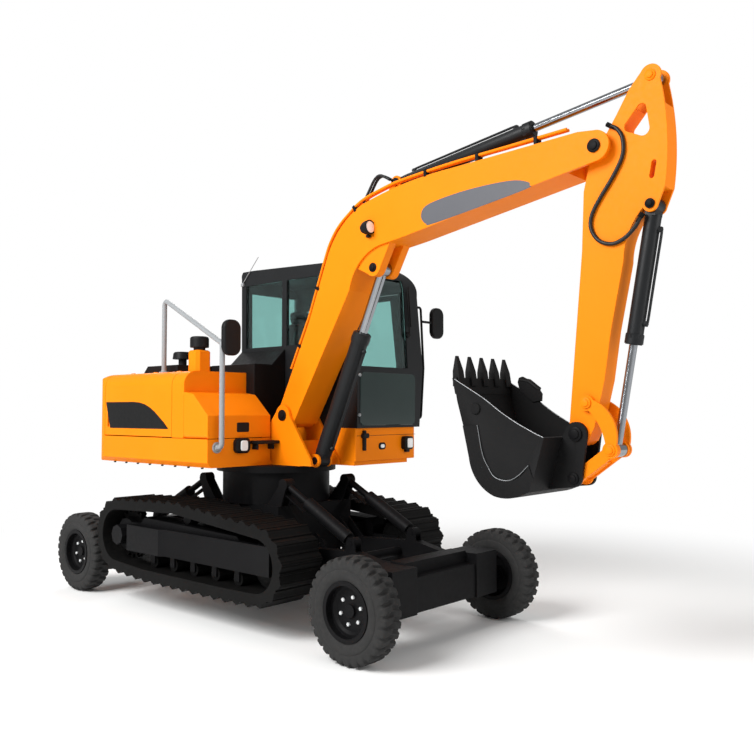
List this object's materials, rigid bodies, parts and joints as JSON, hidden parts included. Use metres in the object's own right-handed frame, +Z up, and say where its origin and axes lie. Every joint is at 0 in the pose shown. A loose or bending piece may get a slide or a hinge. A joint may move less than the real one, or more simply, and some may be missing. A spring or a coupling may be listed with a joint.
{
  "type": "wheel and track excavator",
  "caption": "Compact orange excavator on crawler tracks, standing on road wheels carried by hydraulic lift arms, with its cab, hooked boom, stick and toothed bucket",
  "frame": {"origin": "on the floor below the middle of the whole machine's box", "axes": "+X ahead towards the bucket, +Y to the machine's left, +Z up"},
  "size_m": [6.3953, 2.5245, 4.2089],
  "materials": {
    "orange_paint": "semi-gloss orange enamel, a little faded",
    "black_paint": "satin black paint, dusty",
    "grey_paint": "grey-black cab enamel",
    "worn_steel": "worn bare steel with rust in its corners",
    "track_steel": "cast track shoes, dusty brown-black",
    "rod_chrome": "hard chrome",
    "rim_paint": "dusty black rim enamel",
    "tyre_rubber": "tyre rubber, dusty",
    "cab_glass": "green-tinted safety glass",
    "rail_steel": "galvanised tube",
    "seat_vinyl": "black vinyl",
    "trim_plastic": "moulded black plastic",
    "lamp_plastic": "clear lamp lens",
    "beacon_amber": "amber beacon lens"
  },
  "bodies": {
    "undercarriage": {"centre_frame": "black_paint", "track_frame_left": "black_paint", "track_frame_right": "black_paint", "rollers_left": "worn_steel", "rollers_right": "worn_steel", "track_left": "track_steel", "track_right": "track_steel"},
    "front_lift": {"front_lift_frame": "black_paint"},
    "front_lift_barrels": {"front_lift_barrels": "black_paint"},
    "front_lift_rods": {"front_lift_rods": "rod_chrome"},
    "rear_lift": {"rear_lift_frame": "black_paint"},
    "rear_lift_barrels": {"rear_lift_barrels": "black_paint"},
    "rear_lift_rods": {"rear_lift_rods": "rod_chrome"},
    "knuckle_left": {"knuckle_left": "black_paint"},
    "knuckle_right": {"knuckle_right": "black_paint"},
    "tie_rod": {"tie_rod": "worn_steel"},
    "wheel_front_left": {"tyre_front_left": "tyre_rubber", "rim_front_left": "rim_paint"},
    "wheel_front_right": {"tyre_front_right": "tyre_rubber", "rim_front_right": "rim_paint"},
    "wheel_rear_left": {"tyre_rear_left": "tyre_rubber", "rim_rear_left": "rim_paint"},
    "wheel_rear_right": {"tyre_rear_right": "tyre_rubber", "rim_rear_right": "rim_paint"},
    "house": {"deck": "orange_paint", "counterweight": "orange_paint", "house_cover": "orange_paint", "engine": "worn_steel", "tank": "orange_paint", "valve_cover": "black_paint", "intake_stack": "orange_paint", "stack_cap": "black_paint", "handrail": "rail_steel", "front_step": "black_paint", "right_mirror": "trim_plastic", "cab_base": "orange_paint", "cab_shell": "grey_paint", "cab_glass": "cab_glass", "cab_seat": "seat_vinyl", "cab_console": "trim_plastic", "left_rail": "rail_steel", "left_mirror": "trim_plastic", "roof_beacon": "beacon_amber", "work_lamps": "lamp_plastic"},
    "right_door": {"right_door": "orange_paint"},
    "left_door": {"left_door": "orange_paint"},
    "hood": {"hood": "black_paint"},
    "cab_door": {"cab_door": "grey_paint", "door_glass": "cab_glass"},
    "boom": {"boom": "orange_paint"},
    "boom_barrel": {"boom_barrel": "black_paint"},
    "boom_rod": {"boom_rod": "rod_chrome"},
    "arm_barrel": {"arm_barrel": "black_paint"},
    "arm_rod": {"arm_rod": "rod_chrome"},
    "stick": {"stick": "orange_paint"},
    "bucket_barrel": {"bucket_barrel": "black_paint"},
    "bucket_rod": {"bucket_rod": "rod_chrome"},
    "rocker": {"rocker": "orange_paint"},
    "link": {"link": "orange_paint"},
    "bucket": {"bucket": "black_paint"}
  },
  "joints": [
    {"name": "slew", "type": "hinge", "parent": "undercarriage", "child": "house", "pos_m": [-0.865, -0.205, 1.365], "axis": [0, 0, 1], "continuous": true},
    {"name": "front_lift", "type": "hinge", "parent": "undercarriage", "child": "front_lift", "pos_m": [-0.115, -0.205, 0.6], "axis": [0, -1, 0], "range_deg": [0, 22]},
    {"name": "front_lift_barrel", "type": "hinge", "parent": "front_lift", "child": "front_lift_barrels", "pos_m": [0.555, -0.205, 0.77], "axis": [0, -1, 0], "range_deg": [-9.8, 0]},
    {"name": "front_lift_rod", "type": "slide", "parent": "front_lift_barrels", "child": "front_lift_rods", "axis": [-0.8857, 0, 0.4642], "range_m": [-0.192, 0]},
    {"name": "rear_lift", "type": "hinge", "parent": "undercarriage", "child": "rear_lift", "pos_m": [-1.615, -0.205, 0.6], "axis": [0, 1, 0], "range_deg": [0, 22]},
    {"name": "rear_lift_barrel", "type": "hinge", "parent": "rear_lift", "child": "rear_lift_barrels", "pos_m": [-2.285, -0.205, 0.77], "axis": [0, 1, 0], "range_deg": [-9.8, 0]},
    {"name": "rear_lift_rod", "type": "slide", "parent": "rear_lift_barrels", "child": "rear_lift_rods", "axis": [0.8857, 0, 0.4642], "range_m": [-0.192, 0]},
    {"name": "steer", "type": "hinge", "parent": "front_lift", "child": "knuckle_left", "pos_m": [1.075, 0.585, 0.4], "axis": [0, 0, 1], "range_deg": [-25, 25]},
    {"name": "steer_right", "type": "hinge", "parent": "front_lift", "child": "knuckle_right", "pos_m": [1.075, -0.995, 0.4], "axis": [0, 0, 1], "range_deg": [-25, 25]},
    {"name": "tie_rod_slide", "type": "slide", "parent": "front_lift", "child": "tie_rod", "axis": [0, 1, 0], "range_m": [-0.0905, 0.0905]},
    {"name": "roll_front_left", "type": "hinge", "parent": "knuckle_left", "child": "wheel_front_left", "pos_m": [1.075, 0.742, 0.4], "axis": [0, 1, 0], "continuous": true},
    {"name": "roll_rear_left", "type": "hinge", "parent": "rear_lift", "child": "wheel_rear_left", "pos_m": [-2.825, 0.742, 0.4], "axis": [0, 1, 0], "continuous": true},
    {"name": "roll_front_right", "type": "hinge", "parent": "knuckle_right", "child": "wheel_front_right", "pos_m": [1.075, -1.152, 0.4], "axis": [0, 1, 0], "continuous": true},
    {"name": "roll_rear_right", "type": "hinge", "parent": "rear_lift", "child": "wheel_rear_right", "pos_m": [-2.825, -1.152, 0.4], "axis": [0, 1, 0], "continuous": true},
    {"name": "right_door", "type": "hinge", "parent": "house", "child": "right_door", "pos_m": [-1.765, -1.005, 2.242], "axis": [-1, 0, 0], "range_deg": [0, 75]},
    {"name": "left_door", "type": "hinge", "parent": "house", "child": "left_door", "pos_m": [-1.965, 0.595, 2.242], "axis": [1, 0, 0], "range_deg": [0, 75]},
    {"name": "hood", "type": "hinge", "parent": "house", "child": "hood", "pos_m": [-2.245, -0.205, 2.2423], "axis": [0, -1, 0], "range_deg": [0, 60]},
    {"name": "cab_door", "type": "hinge", "parent": "house", "child": "cab_door", "pos_m": [-1.033, 0.9, 2.3], "axis": [0, 0, 1], "range_deg": [0, 80]},
    {"name": "boom", "type": "hinge", "parent": "house", "child": "boom", "pos_m": [-0.495, -0.275, 1.83], "axis": [0, -1, 0], "range_deg": [-25, 35]},
    {"name": "boom_barrel", "type": "hinge", "parent": "house", "child": "boom_barrel", "pos_m": [-0.165, -0.275, 1.415], "axis": [0, -1, 0], "range_deg": [-21.5, 30.1]},
    {"name": "boom_rod", "type": "slide", "parent": "boom_barrel", "child": "boom_rod", "axis": [0.411, 0, 0.9116], "range_m": [-0.195, 0.272]},
    {"name": "arm", "type": "hinge", "parent": "boom", "child": "stick", "pos_m": [2.68, -0.275, 3.713], "axis": [0, 1, 0], "range_deg": [-70, 25]},
    {"name": "arm_barrel", "type": "hinge", "parent": "boom", "child": "arm_barrel", "pos_m": [0.799, -0.275, 3.824], "axis": [0, 1, 0], "range_deg": [-9.1, 3.3]},
    {"name": "arm_rod", "type": "slide", "parent": "arm_barrel", "child": "arm_rod", "axis": [0.9907, 0, 0.136], "range_m": [-0.562, 0.201]},
    {"name": "bucket", "type": "hinge", "parent": "stick", "child": "bucket", "pos_m": [2.495, -0.275, 1.712], "axis": [0, 1, 0], "range_deg": [-95, 15]},
    {"name": "rocker", "type": "hinge", "parent": "stick", "child": "rocker", "pos_m": [2.575, -0.275, 1.93], "axis": [0, 1, 0], "range_deg": [-76.5, 12.2]},
    {"name": "link", "type": "hinge", "parent": "bucket", "child": "link", "pos_m": [2.475, -0.275, 1.4], "axis": [0, 1, 0], "range_deg": [-9.6, 60]},
    {"name": "bucket_barrel", "type": "hinge", "parent": "stick", "child": "bucket_barrel", "pos_m": [3.045, -0.275, 3.262], "axis": [0, 1, 0], "range_deg": [-6.7, 1.1]},
    {"name": "bucket_rod", "type": "slide", "parent": "bucket_barrel", "child": "bucket_rod", "axis": [-0.1753, 0, -0.9845], "range_m": [-0.4285, 0.0685]}
  ],
  "couplings": [
    {"joint": "front_lift_barrel", "follows": "front_lift", "ratio": -0.4414},
    {"joint": "front_lift_rod", "follows": "front_lift", "m_per_rad": -0.4962},
    {"joint": "rear_lift_barrel", "follows": "rear_lift", "ratio": -0.4414},
    {"joint": "rear_lift_rod", "follows": "rear_lift", "m_per_rad": -0.4962},
    {"joint": "steer_right", "follows": "steer", "ratio": 1},
    {"joint": "tie_rod_slide", "follows": "steer", "m_per_rad": -0.2066},
    {"joint": "boom_barrel", "follows": "boom", "ratio": 0.8559},
    {"joint": "boom_rod", "follows": "boom", "m_per_rad": 0.4437},
    {"joint": "arm_barrel", "follows": "arm", "ratio": 0.1283},
    {"joint": "arm_rod", "follows": "arm", "m_per_rad": 0.4586},
    {"joint": "rocker", "follows": "bucket", "ratio": 0.8038},
    {"joint": "link", "follows": "bucket", "ratio": -0.6293},
    {"joint": "bucket_barrel", "follows": "bucket", "ratio": 0.069},
    {"joint": "bucket_rod", "follows": "bucket", "m_per_rad": 0.258}
  ]
}
